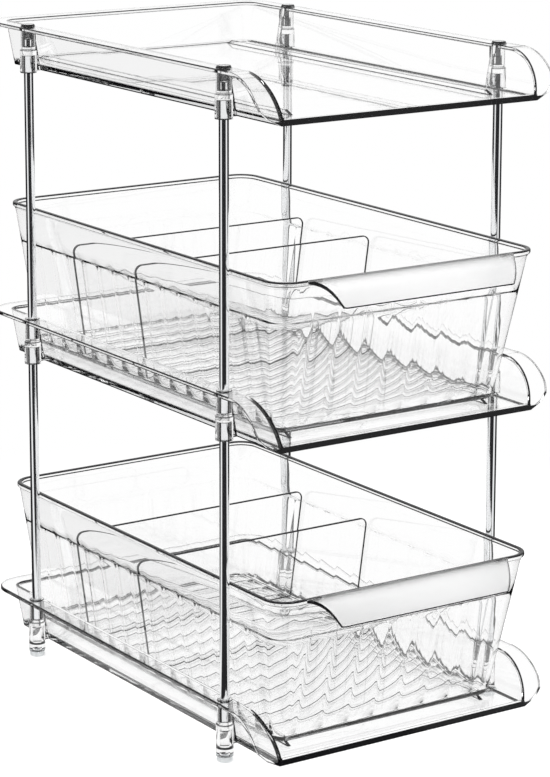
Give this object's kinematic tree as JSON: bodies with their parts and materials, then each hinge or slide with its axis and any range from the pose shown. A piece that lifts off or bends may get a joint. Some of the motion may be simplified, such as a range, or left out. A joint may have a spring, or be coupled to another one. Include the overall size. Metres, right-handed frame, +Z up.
{
  "type": "under sink organizer",
  "caption": "Free-standing tiered organizer of clear plastic trays on metal tube poles, with fluted pull-out drawers and lift-out dividers.",
  "frame": {"origin": "bottom centre of the closed organizer, on the surface it stands on", "axes": "+X to the right seen from the front, +Y to the back, +Z up; the drawers pull out towards -Y"},
  "size_m": [0.214, 0.3495, 0.422],
  "materials": {
    "tray_plastic": "clear, polished",
    "drawer_plastic": "clear, polished",
    "divider_plastic": "clear, polished",
    "foot_plastic": "clear, polished",
    "pole_metal": "mirror bright",
    "soft_pad": "soft satin"
  },
  "bodies": {
    "frame": {"bottom_tray": "tray_plastic", "middle_tray": "tray_plastic", "top_tray": "tray_plastic", "lower_pole_front_left": "pole_metal", "lower_pole_front_right": "pole_metal", "lower_pole_back_left": "pole_metal", "lower_pole_back_right": "pole_metal", "upper_pole_front_left": "pole_metal", "upper_pole_front_right": "pole_metal", "upper_pole_back_left": "pole_metal", "upper_pole_back_right": "pole_metal", "foot_front_left": "foot_plastic", "foot_front_right": "foot_plastic", "foot_back_left": "foot_plastic", "foot_back_right": "foot_plastic", "foot_pad_front_left": "soft_pad", "foot_pad_front_right": "soft_pad", "foot_pad_back_left": "soft_pad", "foot_pad_back_right": "soft_pad", "socket_plug_front_left": "foot_plastic", "socket_plug_front_right": "foot_plastic", "socket_plug_back_left": "foot_plastic", "socket_plug_back_right": "foot_plastic"},
    "lower_drawer": {"lower_drawer": "drawer_plastic"},
    "upper_drawer": {"upper_drawer": "drawer_plastic"},
    "lower_front_divider": {"lower_front_divider": "divider_plastic"},
    "lower_rear_divider": {"lower_rear_divider": "divider_plastic"},
    "upper_front_divider": {"upper_front_divider": "divider_plastic"},
    "upper_rear_divider": {"upper_rear_divider": "divider_plastic"}
  },
  "joints": [
    {"name": "lower_drawer_slide", "type": "slide", "parent": "frame", "child": "lower_drawer", "axis": [0, -1, 0], "range_m": [0, 0.15]},
    {"name": "upper_drawer_slide", "type": "slide", "parent": "frame", "child": "upper_drawer", "axis": [0, -1, 0], "range_m": [0, 0.15]},
    {"name": "lower_front_divider_lift", "type": "slide", "parent": "lower_drawer", "child": "lower_front_divider", "axis": [0, 0, 1], "range_m": [0, 0.1]},
    {"name": "lower_rear_divider_lift", "type": "slide", "parent": "lower_drawer", "child": "lower_rear_divider", "axis": [0, 0, 1], "range_m": [0, 0.1]},
    {"name": "upper_front_divider_lift", "type": "slide", "parent": "upper_drawer", "child": "upper_front_divider", "axis": [0, 0, 1], "range_m": [0, 0.1]},
    {"name": "upper_rear_divider_lift", "type": "slide", "parent": "upper_drawer", "child": "upper_rear_divider", "axis": [0, 0, 1], "range_m": [0, 0.1]}
  ]
}
